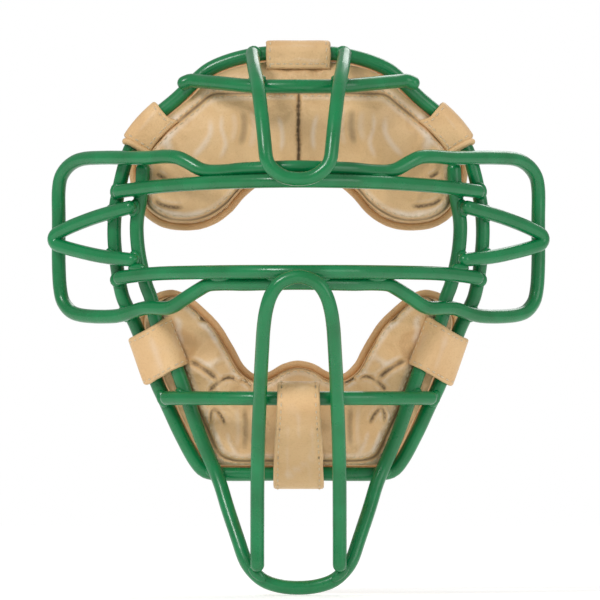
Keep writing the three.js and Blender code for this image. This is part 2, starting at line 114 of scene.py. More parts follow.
def resampled(points, step):
    """The open line with its points an even distance apart, about step."""
    run = distances(points)
    at = np.linspace(0, run[-1], max(2, round(run[-1] / step)) + 1)
    return np.column_stack([np.interp(at, run, column) for column in points.T])


def looped(line):
    """A closed line's points with the first one again at the end."""
    return np.vstack([line, line[:1]])


def unit(v):
    return v / np.maximum(np.linalg.norm(v, axis=-1, keepdims=True), TINY)


def directions(points, closed):
    if closed:
        return unit(np.roll(points, -1, 0) - np.roll(points, 1, 0))
    return unit(np.gradient(points, axis=0))


def smoothstep(x, low, high):
    """0 up to low, 1 from high on, and a smooth rise between them."""
    t = np.clip((x - low) / (high - low), 0, 1)
    return t * t * (3 - 2 * t)


def wobble(points, size, seed=0):
    """Smooth noise from -1 to 1 at each point. Its bumps are about size across."""
    shift = Vector((seed * 7.3, seed, 0))
    return np.array([noise.noise(Vector(p) / size + shift) for p in points])


# ---- Meshes

def closed_up(mesh, weld=None):
    """Turns a mesh's faces outward, after joining points nearer than weld, in metres."""
    work = bmesh.new()
    work.from_mesh(mesh)
    if weld:
        bmesh.ops.remove_doubles(work, verts=work.verts, dist=weld)
    bmesh.ops.recalc_face_normals(work, faces=work.faces)
    work.to_mesh(mesh)
    work.free()
    mesh.shade_smooth()


def piece(name, points, faces, material, slot=None, body=None):
    """A smooth-shaded object from points in millimetres, riding on a body."""
    mesh = bpy.data.meshes.new(name)
    mesh.from_pydata((np.asarray(points, float) * MM).tolist(), [], faces)
    mesh.materials.append(material)
    closed_up(mesh)
    made = bpy.data.objects.new(name, mesh)
    bpy.context.collection.objects.link(made)
    if body:
        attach(made, body)
    return made if slot else made


def vertices(obj, what="co"):
    """An object's vertex places, in metres, or its vertex normals."""
    return np.array([getattr(v, what) for v in obj.data.vertices])


def grid_faces(rows, count, wrap_rows=False, wrap_count=True):
    """Quads between rows of count points."""
    faces = []
    for i in range(rows if wrap_rows else rows - 1):
        here, there = i * count, (i + 1) % rows * count
        for j in range(count if wrap_count else count - 1):
            k = (j + 1) % count
            faces.append((here + j, here + k, there + k, there + j))
    return faces


DOME_ANGLES, DOME_CLEAR = (9, 25, 42, 60, 76, 90), 1.15  # a tube's domed end, in radii


def tube(line, radius, closed, sides=20):
    """Points and faces of a round tube. Its open ends are domed inside the line's length."""
    if not closed:
        run = distances(line)
        dome = radius * (1 - np.cos(np.radians(DOME_ANGLES)))
        clear = radius * DOME_CLEAR
        inside = run[(run > clear) & (run < run[-1] - clear)]
        at = np.concatenate([dome, inside, run[-1] - dome[::-1]])
        line = np.column_stack([np.interp(at, run, column) for column in line.T])
        end = np.minimum(at, run[-1] - at)
        radii = np.sqrt(np.maximum(radius**2 - np.maximum(radius - end, 0) ** 2, 0))
    else:
        radii = np.full(len(line), radius)
    along = directions(line, closed)
    normal = np.zeros_like(line)
    first = np.cross(along[0], (0, 1, 0))
    if np.linalg.norm(first) < 0.3:  # the line starts nearly along Y
        first = np.array((1.0, 0, 0))
    normal[0] = unit(first)
    for i in range(1, len(line)):
        normal[i] = unit(normal[i - 1] - along[i] * (normal[i - 1] @ along[i]))
    if closed:  # the turn left over at the join is shared out along the tube
        back = normal[-1] - along[0] * (normal[-1] @ along[0])
        across = np.cross(along[0], normal[0])
        left = math.atan2(back @ across, back @ normal[0])
    else:
        left = 0
    angle = np.linspace(0, 2 * math.pi, sides, endpoint=False)
    spread = (angle[None, :] - left * np.arange(len(line))[:, None] / len(line))[..., None]
    cross = np.cross(along, normal)
    around = np.cos(spread) * normal[:, None] + np.sin(spread) * cross[:, None]
    points = (line[:, None] + radii[:, None, None] * around).reshape(-1, 3)
    faces = grid_faces(len(line), sides, wrap_rows=closed)
    if not closed:
        faces += [tuple(range(sides)), tuple(len(points) - sides + j for j in range(sides))]
    return points, faces


def merged(parts):
    """One list of points and one of faces from several."""
    points, faces, start = [], [], 0
    for some, their_faces in parts:
        points.append(some)
        faces += [tuple(i + start for i in face) for face in their_faces]
        start += len(some)
    return np.vstack(points), faces


def ellipsoid(centre, axes, rings=7, sides=10):
    """A small closed blob. axes are its three half-axis vectors, the last one its poles'."""
    lat = np.linspace(-math.pi / 2, math.pi / 2, rings + 2)[1:-1]
    lon = np.linspace(0, 2 * math.pi, sides, endpoint=False)
    a, b, c = np.asarray(axes, float)
    points = [
        centre + math.cos(v) * (math.cos(u) * a + math.sin(u) * b) + math.sin(v) * c
        for v in lat for u in lon
    ]
    faces = grid_faces(rings, sides)
    low, high = len(points), len(points) + 1
    points += [centre - c, centre + c]
    top = (rings - 1) * sides
    for j in range(sides):
        k = (j + 1) % sides
        faces += [(k, j, low), (top + j, top + k, high)]
    return np.array(points), faces


# ---- Materials

class Finish:
    """A node material round one Principled shader."""

    def __init__(self, name, **constants):
        self.material = bpy.data.materials.new(name)
        self.material.use_nodes = True
        self.nodes = self.material.node_tree.nodes
        self.shader = self.nodes["Principled BSDF"]
        for socket, value in constants.items():
            self.shader.inputs[socket.replace("_", " ")].default_value = value
        self.place = self.node("ShaderNodeTexCoord").outputs["Object"]

    def link(self, source, target):
        self.material.node_tree.links.new(source, target)

    def node(self, kind, sockets=None, **settings):
        made = self.nodes.new(kind)
        for key, value in settings.items():
            setattr(made, key, value)
        for key, value in (sockets or {}).items():
            if isinstance(value, bpy.types.NodeSocket):
                self.link(value, made.inputs[key])
            else:
                made.inputs[key].default_value = value
        return made

    def noise(self, scale, detail=3.0, distortion=0.0, rough=0.5):
        return self.node("ShaderNodeTexNoise", {
            "Vector": self.place, "Scale": scale, "Detail": detail,
            "Distortion": distortion, "Roughness": rough,
        }).outputs["Fac"]

    def cells(self, scale):
        return self.node(
            "ShaderNodeTexVoronoi", {"Vector": self.place, "Scale": scale}).outputs["Distance"]

    def spread(self, value, low, high, to_low=0.0, to_high=1.0):
        return self.node("ShaderNodeMapRange", {
            "Value": value, "From Min": low, "From Max": high,
            "To Min": to_low, "To Max": to_high,
        }).outputs["Result"]

    def mix(self, factor, a, b):
        made = self.node("ShaderNodeMix", data_type="RGBA")
        self.link(factor, made.inputs[0])
        for socket, colour in ((made.inputs[6], a), (made.inputs[7], b)):
            if isinstance(colour, tuple):
                socket.default_value = (*colour, 1)
            else:
                self.link(colour, socket)
        return made.outputs[2]

    def bump(self, height, distance, strength=1.0, under=None):
        sockets = {"Height": height, "Distance": distance, "Strength": strength}
        if under is not None:
            sockets["Normal"] = under
        return self.node("ShaderNodeBump", sockets).outputs["Normal"]

    def finish(self, colour, roughness, normal):
        for socket, source in {
                "Base Color": colour, "Roughness": roughness, "Normal": normal}.items():
            self.link(source, self.shader.inputs[socket])
        return self.material


DEEP_GREEN, BRIGHT_GREEN = (0.0004, 0.150, 0.040), (0.0008, 0.205, 0.062)
RUBBED_GREEN = (0.03, 0.30, 0.13)


def coated_wire():
    """Dipped vinyl: a little uneven in colour and thickness, and rubbed pale in small spots."""
    f = Finish("green_coated_wire", Coat_Weight=0.25, Coat_Roughness=0.1, IOR=1.45)
    dip = f.spread(f.noise(55, 2), 0.3, 0.7)
    colour = f.mix(dip, DEEP_GREEN, BRIGHT_GREEN)
    rub = f.spread(f.noise(420, 4, 0.4), 0.66, 0.78, 0.0, 0.4)
    colour = f.mix(rub, colour, RUBBED_GREEN)
    rough = f.spread(f.noise(150, 3), 0.3, 0.75, 0.24, 0.4)
    skin = f.bump(f.noise(330, 2), 0.00012)
    return f.finish(colour, rough, f.bump(f.noise(60, 1), 0.0003, under=skin))


def leather(name, dark, base, light, grain):
    """Grained leather, mottled and cloudy. The point attribute that set_shape keeps paints shade on
    it down to -1, in seams and creases, and a pale highlight up to 1, on folds, crease rims and
    beside seams."""
    f = Finish(name, IOR=1.45, Sheen_Weight=0.08, Sheen_Roughness=0.5)
    relief = f.node("ShaderNodeAttribute", attribute_name="relief").outputs["Fac"]
    pores = f.cells(grain)
    mottle = f.spread(f.noise(42, 5, 0.6), 0.32, 0.7)
    colour = f.mix(mottle, base, light)
    cloudy = f.spread(f.noise(13, 3, 1.2), 0.5, 0.74, 0.0, 0.45)
    colour = f.mix(cloudy, colour, dark)
    colour = f.mix(f.spread(pores, 0.0, 0.42, 0.3, 0.0), colour, dark)
    # painted highlight: the colour turns pale where the attribute is above zero
    painted_highlight_colour = tuple(min(1.0, 0.42 * c + 0.5) for c in light)
    colour = f.mix(f.spread(relief, 0.08, 1.0, 0.0, 0.62), colour, painted_highlight_colour)
    # painted shade: the colour turns dark where the attribute is below zero
    painted_shade_colour = tuple(0.16 * c for c in dark)
    colour = f.mix(f.spread(relief, -0.1, -1.0, 0.0, 0.88), colour, painted_shade_colour)
    rough = f.spread(f.noise(120, 4), 0.3, 0.72, 0.42, 0.62)
    grainy = f.bump(pores, 0.00022, 0.65)
    buckled = f.bump(f.noise(170, 4, 0.8), 0.0005, 0.55, under=grainy)
    return f.finish(colour, rough, buckled)


def thread():
    f = Finish("waxed_thread", IOR=1.45)
    twist = f.node("ShaderNodeTexWave", {"Vector": f.place, "Scale": 900.0, "Distortion": 1.5})
    colour = f.mix(twist.outputs["Fac"], (0.72, 0.54, 0.32), (0.92, 0.78, 0.56))
    rough = f.spread(f.noise(900), 0.2, 0.8, 0.5, 0.75)
    return f.finish(colour, rough, f.bump(twist.outputs["Fac"], 0.0002))


def tape(name, loops):
    """The two faces of the closure: soft loops, or stiff hooks in rows."""
    f = Finish(name, Sheen_Weight=0.35 if loops else 0.05)
    if loops:
        fuzz = f.noise(1900, 6, 2.5, 0.7)
        low, high = (0.075, 0.045, 0.022), (0.30, 0.20, 0.11)
    else:
        fuzz = f.cells(850)
        low, high = (0.19, 0.12, 0.06), (0.06, 0.035, 0.017)
    colour = f.mix(f.spread(fuzz, 0.25, 0.7), low, high)
    rough = f.spread(f.noise(300), 0.2, 0.8, 0.8, 1.0)
    return f.finish(colour, rough, f.bump(fuzz, 0.0007, 0.9))


WIRE_FINISH = coated_wire()
PAD_LEATHER = leather("tan_pad_leather", dark=(0.50, 0.29, 0.125), base=(0.67, 0.42, 0.195),
                      light=(0.75, 0.50, 0.26), grain=950)
STRAP_LEATHER = leather("tan_strap_leather", dark=(0.49, 0.285, 0.12), base=(0.66, 0.41, 0.19),
                        light=(0.75, 0.50, 0.255), grain=800)
WELT_LEATHER = leather("welt_leather", dark=(0.44, 0.25, 0.11), base=(0.62, 0.38, 0.175),
                       light=(0.72, 0.47, 0.24), grain=1100)
THREAD = thread()
LOOP_TAPE = tape("loop_tape", True)
HOOK_TAPE = tape("hook_tape", False)


# ---- Cage

WIRES = (
    "rear_ring", "throat_loop", "ear_guard_loop", "upper_eye_bar", "lower_eye_bar",
    "forehead_bar", "mouth_bar", "brow_hoop", "nose_hoop", "temple_v_right", "temple_v_left",
)
CLOSED_WIRES = ("rear_ring", "ear_guard_loop")
WIRE_RADIUS = 3.5
WIRE_STEP = 1.8  # spacing of the points along a wire
SECTION_SIDES = 8  # a CAD wire's mesh is rings of eight points round its centre line
SAME_POINT, SAME_LENGTH = 1e-6, 5e-7  # how nearly two CAD points or edges agree, in metres


def centre_line(node):
    """The middles of a CAD wire's sections, in order along it."""
    mesh = bmesh.new()
    mesh.from_mesh(frame["nodes"][node].data)
    bmesh.ops.remove_doubles(mesh, verts=mesh.verts, dist=SAME_POINT)
    mesh.verts.index_update()
    side = 2 * WIRE_RADIUS * MM * math.sin(math.pi / SECTION_SIDES)
    group = list(range(len(mesh.verts)))

    def root(i):
        while group[i] != i:
            i = group[i]
        return i

    for edge in mesh.edges:
        if abs(edge.calc_length() - side) < SAME_LENGTH:
            a, b = (root(v.index) for v in edge.verts)
            group[a] = b
    places = np.array([v.co for v in mesh.verts]) / MM
    of = np.array([root(i) for i in range(len(group))])
    middles = {int(r): places[of == r].mean(axis=0) for r in np.unique(of)}
    beside = {r: set() for r in middles}
    for edge in mesh.edges:
        a, b = (int(of[v.index]) for v in edge.verts)
        if a != b:
            beside[a].add(b)
            beside[b].add(a)
    mesh.free()
    ends = [r for r in sorted(beside) if len(beside[r]) == 1]
    order = [ends[0] if ends else min(beside)]
    while len(order) < len(beside):
        order.append(next(r for r in sorted(beside[order[-1]]) if r not in order))
    return np.array([middles[r] for r in order])


lines = {}
for wire in WIRES:
    is_closed = wire in CLOSED_WIRES
    lines[wire] = curve(centre_line(wire), WIRE_STEP, is_closed)
    shape = tube(lines[wire], WIRE_RADIUS, is_closed)
    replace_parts(piece(f"wire_{wire}", *shape, WIRE_FINISH, "coated_wire", "mask"), wire)

WELD_REACH = 8.0  # two wires whose centre lines are nearer than this are welded
WELD = 3.9  # half-width of a weld where two wires cross squarely
WELD_LONGER, WELD_NARROWER = 2.5, 1.7  # where they run beside each other
WELD_ACROSS = 2.2  # half the weld's size from one wire to the other


def contacts(a, b):
    """Where two centre lines pass close: the middle, the way from one to the other, the way along
    the first, and how nearly they are parallel, from 0 to 1."""
    apart = np.linalg.norm(a[:, None] - b[None], axis=2)
    nearest = apart.min(axis=1)
    found = []
    for i in range(1, len(a) - 1):
        low = nearest[i] <= nearest[i - 1] and nearest[i] < nearest[i + 1]
        if low and nearest[i] < WELD_REACH:
            j = int(apart[i].argmin())
            ways = directions(a, False)[i], directions(b, False)[j]
            found.append(((a[i] + b[j]) / 2, unit(b[j] - a[i]), ways[0], abs(ways[0] @ ways[1])))
    return found


beads = []
for i, first in enumerate(WIRES):
    for second in WIRES[i + 1:]:
        for middle, across, along, parallel in contacts(lines[first], lines[second]):
            along = unit(along - across * (along @ across))
            side = np.cross(across, along)
            axes = ((WELD + WELD_LONGER * parallel) * along,
                    (WELD - WELD_NARROWER * parallel) * side, WELD_ACROSS * across)
            beads.append(ellipsoid(middle, axes, rings=9, sides=16))
piece("cage_welds", *merged(beads), WIRE_FINISH, "coated_wire", "mask")


# ---- Pads

RING_HALF_WIDTH, RING_WRAP = 92.3, 13  # the ring's sides lie behind its top
SEAM_STEP = 2.4  # spacing of the points along a pad's seam
WALL_INSET = 4.2  # from a pad's outline to its side wall
WALL_PULL = 0.9  # the wall's sag between its two edges
WALL_ROWS, GUSSET_ROWS = 10, 7
FLANGE_INSET = 3.1  # the back edge, inside the welt
WELT_RADIUS, WELT_INSET, WELT_SIDES = 1.9, 1.95, 14
WELT_BACK = 0.5  # how far the welt's middle lies behind the plane of the pad's back
FLAT_HALF = 16  # the flat middle of a pad's back
BACK_STAND = 1.1  # how far the back's edge stands out of that plane
GUSSET_SWELL = 1.1  # of the strip between the wall and the front seam, where it is wide
GUSSET_HELD, GUSSET_FREE = 5, 9  # its width where the cloth is held, and where it moves freely
CROWN_REACH, BACK_CROWN_REACH = 6, 9  # how far in from the edge a face's crown rises
BACK_STEP = 1.25 * SEAM_STEP
BACK_LOOSE = 0.8  # how freely the back may swell
SETTLING = 400  # rounds of smoothing


def ring_y(x):
    """How far the rear ring lies behind its top's plane."""
    return RING_WRAP * (x / RING_HALF_WIDTH) ** 2


# Key points of each pad's right half, from the middle of its outer edge round the tip to the
# middle of its inner edge: the outline's x and z, the front seam's x and z, and how far the
# wall's front edge and the seam lie forward of the ring.
FOREHEAD_KEYS = (
    (0, 87.5, 0, 67.6, 1, 6.2), (17.75, 87.25, 16, 67.6, 1, 6.2), (29.25, 85.25, 27, 67.4, 1, 6),
    (39.25, 82, 36, 67.2, 1, 5.8), (46.75, 78, 43, 66.6, 1, 5.4), (57.75, 67.5, 51, 60.6, 1, 5),
    (64.75, 61.5, 58.5, 54.4, 1, 4.6), (76, 51.5, 68, 45.8, 1, 3.8),
    (83.5, 39, 74.6, 38.5, 1, 2.9), (85, 26, 76.8, 27, 1, 2.6),
    (79.5, 9, 74.8, 12, 1, 2.8), (70, 1.2, 68.2, 6, 1.4, 3.4),
    (58, -1.25, 57.6, 4, 2.4, 4.4), (48, -0.3, 48.6, 5.2, 3.4, 5.4), (40, 3, 41.3, 8.6, 4.4, 6),
    (33, 8.5, 34.6, 14, 5, 6.2), (27, 15.5, 29.4, 20, 5.4, 6.4), (20, 21, 22, 26, 5.5, 6.4),
    (12, 22.7, 12.6, 28, 5.5, 6.4), (0, 23, 0, 28.4, 5.5, 6.4),
)
CHIN_KEYS = (
    (0, -122.75, 0, -116.4, 1, 5), (20, -122.75, 20, -116.4, 1, 4.8),
    (35, -122.75, 33, -116, 1, 4.2), (43, -122.3, 38.6, -113.8, 1, 3.2),
    (48.5, -119.7, 41.4, -109.6, 1, 2.8), (54.75, -111, 44.4, -103, 1, 2.6),
    (64.5, -91, 51, -88, 1, 2.6), (69.5, -81, 54.6, -78.5, 1, 2.6),
    (75.5, -64.5, 61, -63, 1, 2.6), (80.5, -51, 67, -50.4, 1, 2.6),
    (80.6, -44, 68.9, -44.4, 1, 2.7), (77.2, -37.2, 68.6, -39.4, 1, 3),
    (71.5, -32.7, 66.8, -35.8, 1.2, 3.4), (63.25, -30.75, 62.3, -34.2, 1.8, 4.2),
    (56, -33.3, 56.6, -36.7, 2.6, 5), (48, -39.5, 49.6, -43, 3.4, 5.4),
    (40, -47.5, 42.3, -50.5, 4, 5.8), (33, -58.5, 35.9, -60.8, 4.8, 6),
    (27, -69, 29, -72.6, 5.4, 6.2), (21, -73.3, 21.3, -77, 5.8, 6.4),
    (15, -72, 14.2, -75.8, 6, 6.6), (8, -68, 7.6, -71.6, 6, 6.8), (0, -66.25, 0, -69.8, 6, 7),
)

# Creases in a finished front: points (x, z), depth and half-width. A negative depth is a raised
# fold. Each crease gets painted shade and a fold a painted highlight. Each is on the left half,
# and the right half gets its mirror image, moved by CREASE_SHIFT.
CREASE_SHIFT = -0.8, 0.6
FOREHEAD_CREASES = (
    (((-74, 15.2), (-69, 11.8), (-63, 10.4), (-56.7, 10.1)), 1.5, 1.1),
    (((-71.3, 27.5), (-68.6, 25.8), (-65.9, 24.4)), 1.1, 1.0),
    (((-60, 58), (-64, 50), (-66, 44), (-63, 36)), -0.8, 2.4),
    (((-44.5, 56), (-44, 48), (-47, 42), (-54, 34)), -0.7, 1.6),
    (((-38, 58), (-38.5, 50), (-36.5, 42), (-40, 33)), -0.6, 1.3),
    (((-10.5, 57), (-8.5, 50), (-8, 44), (-9, 37)), -0.7, 1.3),
    (((-70, 37), (-62, 33.5), (-54, 31.5)), -0.6, 1.6),
    (((-66, 6.8), (-57, 5.4), (-46, 8.6)), -0.5, 1.8),
    (((-28, 60), (-27, 50), (-29, 40)), 0.5, 2.2),
)
CHIN_CREASES = (
    (((-55.6, -66.5), (-50, -68.6), (-44.5, -72.5), (-39.5, -77.3)), 2.1, 1.3),
    (((-39.5, -77.3), (-42.4, -79.2), (-44.6, -82)), 1.3, 1.1),
    (((-39.5, -77.3), (-36.8, -75.4), (-33, -75), (-30.6, -77)), 1.4, 0.9),
    (((-30.6, -77), (-27.6, -76.4), (-24.6, -78.4), (-22.6, -81)), 1.4, 0.9),
    (((-42.2, -89.9), (-43.9, -93.5), (-44, -98.3)), 1.3, 0.9),
    (((-42.2, -89.9), (-38.6, -94), (-36.4, -98.7)), 1.3, 0.9),
    (((-44.5, -44), (-47.6, -45.6), (-50.6, -45.4)), 1.2, 1.2),
    (((-63, -44), (-60, -47), (-60.4, -53), (-58, -59)), -0.8, 1.8),
    (((-50, -48.6), (-45, -50), (-40, -58)), -0.7, 1.5),
    (((-52, -66), (-46, -68.6), (-37, -64)), -0.6, 1.7),
    (((-42, -101), (-40, -108), (-37.5, -114)), -0.6, 1.2),
    (((-36, -101), (-34, -108), (-30.5, -114)), -0.6, 1.2),
    (((-27, -88), (-26.4, -100), (-27, -112)), 0.5, 1.8),
    (((-12, -72.4), (-6, -69.4), (0, -68.8)), -0.5, 1.4),
)

# The same for the backs, which fold a little round the notches when worn.
FOREHEAD_BACK_CREASES = (
    (((-13, 29), (-17, 37), (-25, 45)), 0.7, 1.6),
    (((-24, 24), (-32, 31), (-43, 35)), 0.8, 1.8),
    (((-33, 14), (-44, 19), (-56, 20)), 0.6, 1.6),
    (((-6, 33), (-7, 42), (-12, 52)), 0.5, 1.4),
    (((-50, 62), (-56, 52), (-58, 42)), -0.6, 2.4),
)
CHIN_BACK_CREASES = (
    (((-22, -80), (-25, -88), (-32, -96)), 0.8, 1.7),
    (((-30, -74), (-39, -81), (-50, -84)), 0.8, 1.8),
    (((-12, -78), (-10, -88), (-13, -100)), 0.6, 1.5),
    (((-37, -62), (-47, -65), (-58, -62)), 0.6, 1.6),
    (((-52, -46), (-60, -54), (-64, -66)), -0.5, 2.2),
)


def whole(keys):
    """The keys of a closed outline from those of its right half."""
    right = np.array(keys, float)
    left = right[-2:0:-1] * (-1, 1, -1, 1, 1, 1)
    return np.vstack([right, left])


def offset_in(loop, distance):
    """A closed loop of (x, z) points moved inward."""
    along = directions(loop, True)
    after = np.roll(loop, -1, 0)
    turning = np.sign((loop[:, 0] * after[:, 1] - after[:, 0] * loop[:, 1]).sum())
    return loop - np.column_stack([along[:, 1], -along[:, 0]]) * distance * turning


def lattice(edge, step):
    """Points of a triangular lattice inside a loop, with a column on the middle plane."""
    (x0, z0), (x1, z1) = edge.T, np.roll(edge, -1, 0).T
    low, high = z0.min(), z0.max()
    found = [(0.0, z) for z in np.arange(low, high, step)]
    row_step = step * math.sqrt(3) / 2
    for k in range(int((high - low) / row_step) + 1):
        half = np.arange(1, int(x0.max() / step) + 1) * step - (k % 2) * step / 2
        found += [(s * x, low + k * row_step) for x in half if x > 0.4 * step for s in (1, -1)]
    kept = []
    for x, z in found:
        span = (z0 > z) != (z1 > z)
        cross = x0 + (z - z0) / np.where(span, z1 - z0, 1) * (x1 - x0)
        inside = np.count_nonzero(span & (cross > x)) % 2
        if inside and np.hypot(x0 - x, z0 - z).min() > 0.6 * step:  # clear of the edge's points
            kept.append((x, z))
    return np.array(kept)


def settled(points, count, faces):
    """Heights over the inner points that join the fixed heights of the first count smoothly."""
    pairs = np.array([(f[i], f[(i + 1) % 3]) for f in faces for i in range(3)])
    one, other = np.vstack([pairs, pairs[:, ::-1]]).T
    beside = np.maximum(np.bincount(one, minlength=len(points)), 1)
    height = points.copy()
    height[count:] = height[:count].mean()
    for _ in range(SETTLING):
        height[count:] = (np.bincount(one, height[other], len(points)) / beside)[count:]
    return height


def domed(edge, height, crown, reach, step):
    """A panel over a row of skin points that bulges by crown from reach inside its edge. height
    gives the flat panel's y from its inner points and its faces. Returns those and the points."""
    loop = edge[:, [0, 2]]
    inner = lattice(loop, step)
    flat = [Vector(p) for p in np.vstack([loop, inner])]
    border = [(i, (i + 1) % len(loop)) for i in range(len(loop))]
    faces = geometry.delaunay_2d_cdt(flat, border, [], 1, 1e-6)[2]
    away = np.array([np.hypot(*(loop - p).T).min() for p in inner])
    y = height(inner, faces) + crown * (1 - np.exp(-away / reach))
    return np.column_stack([inner[:, 0], y, inner[:, 1]]), faces


def envelope(keys, back_y, crown, back_crown):
    """A pad's whole skin as one closed mesh. Returns its points, its faces, the front seam, and
    how freely cloth may move each point, from 0 to 1."""
    dense = curve(whole(keys), SEAM_STEP, closed=True, measured=2)
    edge, seam, wall_at, seam_at = dense[:, :2], dense[:, 2:4], dense[:, 4], dense[:, 5]
    count = len(dense)
    rows, loose = [], []

    def add_row(xz, y, free):
        rows.append(np.column_stack([xz[:, 0], y, xz[:, 1]]))
        loose.append(np.broadcast_to(free, count))

    for k in range(WALL_ROWS + 1):
        t = k / WALL_ROWS
        inset = FLANGE_INSET + (WALL_INSET - FLANGE_INSET) * smoothstep(t, 0, 0.25)
        inset = inset + WALL_PULL * math.sin(math.pi * t)
        xz = offset_in(edge, inset)
        back = back_y(np.abs(xz[:, 0])) + BACK_STAND
        front = ring_y(xz[:, 0]) - wall_at
        add_row(xz, back + (front - back) * t, 0.0)
    front_edge = rows[-1]
    width = np.linalg.norm(front_edge[:, [0, 2]] - seam, axis=1)
    for k in range(1, GUSSET_ROWS + 1):
        t = k / GUSSET_ROWS
        xz = front_edge[:, [0, 2]] * (1 - t) + seam * t
        y = front_edge[:, 1] * (1 - t) + (ring_y(seam[:, 0]) - seam_at) * t
        swell = np.minimum(width / 8, 1) * GUSSET_SWELL * math.sin(math.pi * t)
        free = smoothstep(width, GUSSET_HELD, GUSSET_FREE) if k < GUSSET_ROWS else 0.0
        add_row(xz, y - swell, free)
    faces = grid_faces(len(rows), count)

    def front_height(inner, tris):
        known = np.concatenate([-seam_at, np.zeros(len(inner))])
        return ring_y(inner[:, 0]) + settled(known, count, tris)[count:]

    def back_height(inner, tris):
        return back_y(np.abs(inner[:, 0])) + BACK_STAND

    last = (len(rows) - 1) * count
    start = len(rows) * count
    for row, first, height, bulge, reach, step, free in (
            (rows[-1], last, front_height, -crown, CROWN_REACH, SEAM_STEP, 1.0),
            (rows[0], 0, back_height, back_crown, BACK_CROWN_REACH, BACK_STEP, BACK_LOOSE)):
        inner, tris = domed(row, height, bulge, reach, step)
        rows.append(inner)
        loose.append(np.full(len(inner), free))
        faces += [tuple(first + i if i < count else start + i - count for i in f) for f in tris]
        start += len(inner)
    return np.vstack(rows), faces, seam, np.concatenate(loose)


PUFF_FRAMES = 16
PUFF_CAP = 2.6  # how far a point may move
CLOTH = dict(
    vertex_group_mass="held", pin_stiffness=12, quality=6, mass=0.25, tension_stiffness=18,
    compression_stiffness=18, shear_stiffness=6, bending_stiffness=0.08, shrink_min=-0.05,
    use_pressure=True, uniform_pressure_force=3.2,
)


def puff(obj, loose):
    """Swells the skin like stuffed leather: pressure from inside, held along its seams."""
    start = vertices(obj)
    held = obj.vertex_groups.new(name=CLOTH["vertex_group_mass"])
    for i, free in enumerate(loose):
        held.add([i], 1 - float(free), "REPLACE")
    cloth = obj.modifiers.new("skin", "CLOTH")
    for setting, value in CLOTH.items():
        setattr(cloth.settings, setting, value)
    cloth.settings.effector_weights.gravity = 0
    cloth.collision_settings.use_collision = False
    cloth.point_cache.frame_start, cloth.point_cache.frame_end = 1, PUFF_FRAMES
    scene = bpy.context.scene
    for number in range(1, PUFF_FRAMES + 1):
        scene.frame_set(number)
    shape = obj.evaluated_get(bpy.context.evaluated_depsgraph_get()).to_mesh()
    end = np.array([v.co for v in shape.vertices])
    obj.modifiers.remove(cloth)
    obj.vertex_groups.remove(held)
    scene.frame_set(1)
    move = (end - start) / MM
    size = np.linalg.norm(move, axis=1)
    move *= np.minimum(1, PUFF_CAP / np.maximum(size, 1e-9))[:, None]
    obj.data.vertices.foreach_set("co", (start + move * MM).ravel())


def subdivided(obj):
    modifier = obj.modifiers.new("smooth", "SUBSURF")
    modifier.levels = modifier.render_levels = 1
    depsgraph = bpy.context.evaluated_depsgraph_get()
    finer = bpy.data.meshes.new_from_object(obj.evaluated_get(depsgraph))
    obj.modifiers.clear()
    coarse, obj.data = obj.data, finer
    bpy.data.meshes.remove(coarse)
    finer.shade_smooth()


def along_line(points, line):
    """The distance of each (x, z) point from a polyline, and how far along it that is, 0 to 1."""
    best = np.full(len(points), np.inf)
    where = np.zeros(len(points))
    pieces = len(line) - 1
    for i in range(pieces):
        a, way = line[i], line[i + 1] - line[i]
        t = np.clip(((points - a) @ way) / (way @ way), 0, 1)
        d = np.linalg.norm(points - a - t[:, None] * way, axis=1)
        nearer = d < best
        best[nearer] = d[nearer]
        where[nearer] = (i + t[nearer]) / pieces
    return best, where


def ridge(away, width):
    """1 at no distance, and down to 0 over about twice the width."""
    return np.exp(-(away / width) ** 2)


RIM_AT, RIM_WIDTH = 2.1, 0.9  # the raised rim beside a crease, in the crease's half-widths
RIM_RISE, RIM_PAINTED_HIGHLIGHT = 0.22, 0.4  # its height for each unit of depth, and its painted highlight


def crease(place, facing, relief, keys, depth, half_width, inward=1):
    """Presses a line into a face, or raises it as a fold where depth is negative. It paints shade
    into a crease and a pale highlight on its rims and on a fold. facing is 1 on that face, and
    inward is the sign of Y into it."""
    line = curve(np.array(keys, float), 1.0, measured=2)
    away, where = along_line(place[:, [0, 2]], line)
    taper = np.clip(np.sin(math.pi * np.clip(where, 0.02, 0.98)) * 1.6, 0.15, 1) * facing
    dip = ridge(away, half_width) * taper
    rim = ridge(away - RIM_AT * half_width, RIM_WIDTH * half_width) * taper
    place[:, 1] += inward * (depth * dip - RIM_RISE * max(depth, 0) * rim)
    # painted shade in a crease's groove, painted highlight on its rims and on a raised fold
    relief += -dip * np.sign(depth) * min(1, abs(depth)) + RIM_PAINTED_HIGHLIGHT * rim * (depth > 0)


BUCKLES, BUCKLE_SHADE = ((11, 0.28, 1), (4.5, 0.12, 2)), 0.25  # size, height and seed
GROOVE_DEPTH, GROOVE_WIDTH = 0.9, 0.8  # a pad's front seam
SEAM_HIGHLIGHT, SEAM_HIGHLIGHT_AT, SEAM_HIGHLIGHT_WIDTH = 0.5, 2.6, 1.3  # the painted highlight line beside it
MIDDLE_SEAM_LOW, MIDDLE_SEAM_HIGH = (28, 34), (65, 68)  # where it fades in and out, going up
SLIT_DEPTH, SLIT_WIDTH, SLIT_SHADE = 2.2, 0.9, 1.4
DRAWN_IN, DRAWN_WIDTH = 1.1, 3.5


def middle_seam(place, facing, relief):
    """The seam down the middle of the forehead pad's front, with the leather drawn in to it."""
    height = (smoothstep(place[:, 2], *MIDDLE_SEAM_LOW)
              * (1 - smoothstep(place[:, 2], *MIDDLE_SEAM_HIGH)) * facing)
    away = np.abs(place[:, 0] - 0.5 * wobble(place * (0, 0, 1), 9, 8))
    slit = ridge(away, SLIT_WIDTH) * height
    place[:, 1] += SLIT_DEPTH * slit + DRAWN_IN * ridge(away, DRAWN_WIDTH) * height
    # painted shade in the seam's slit
    relief -= SLIT_SHADE * slit


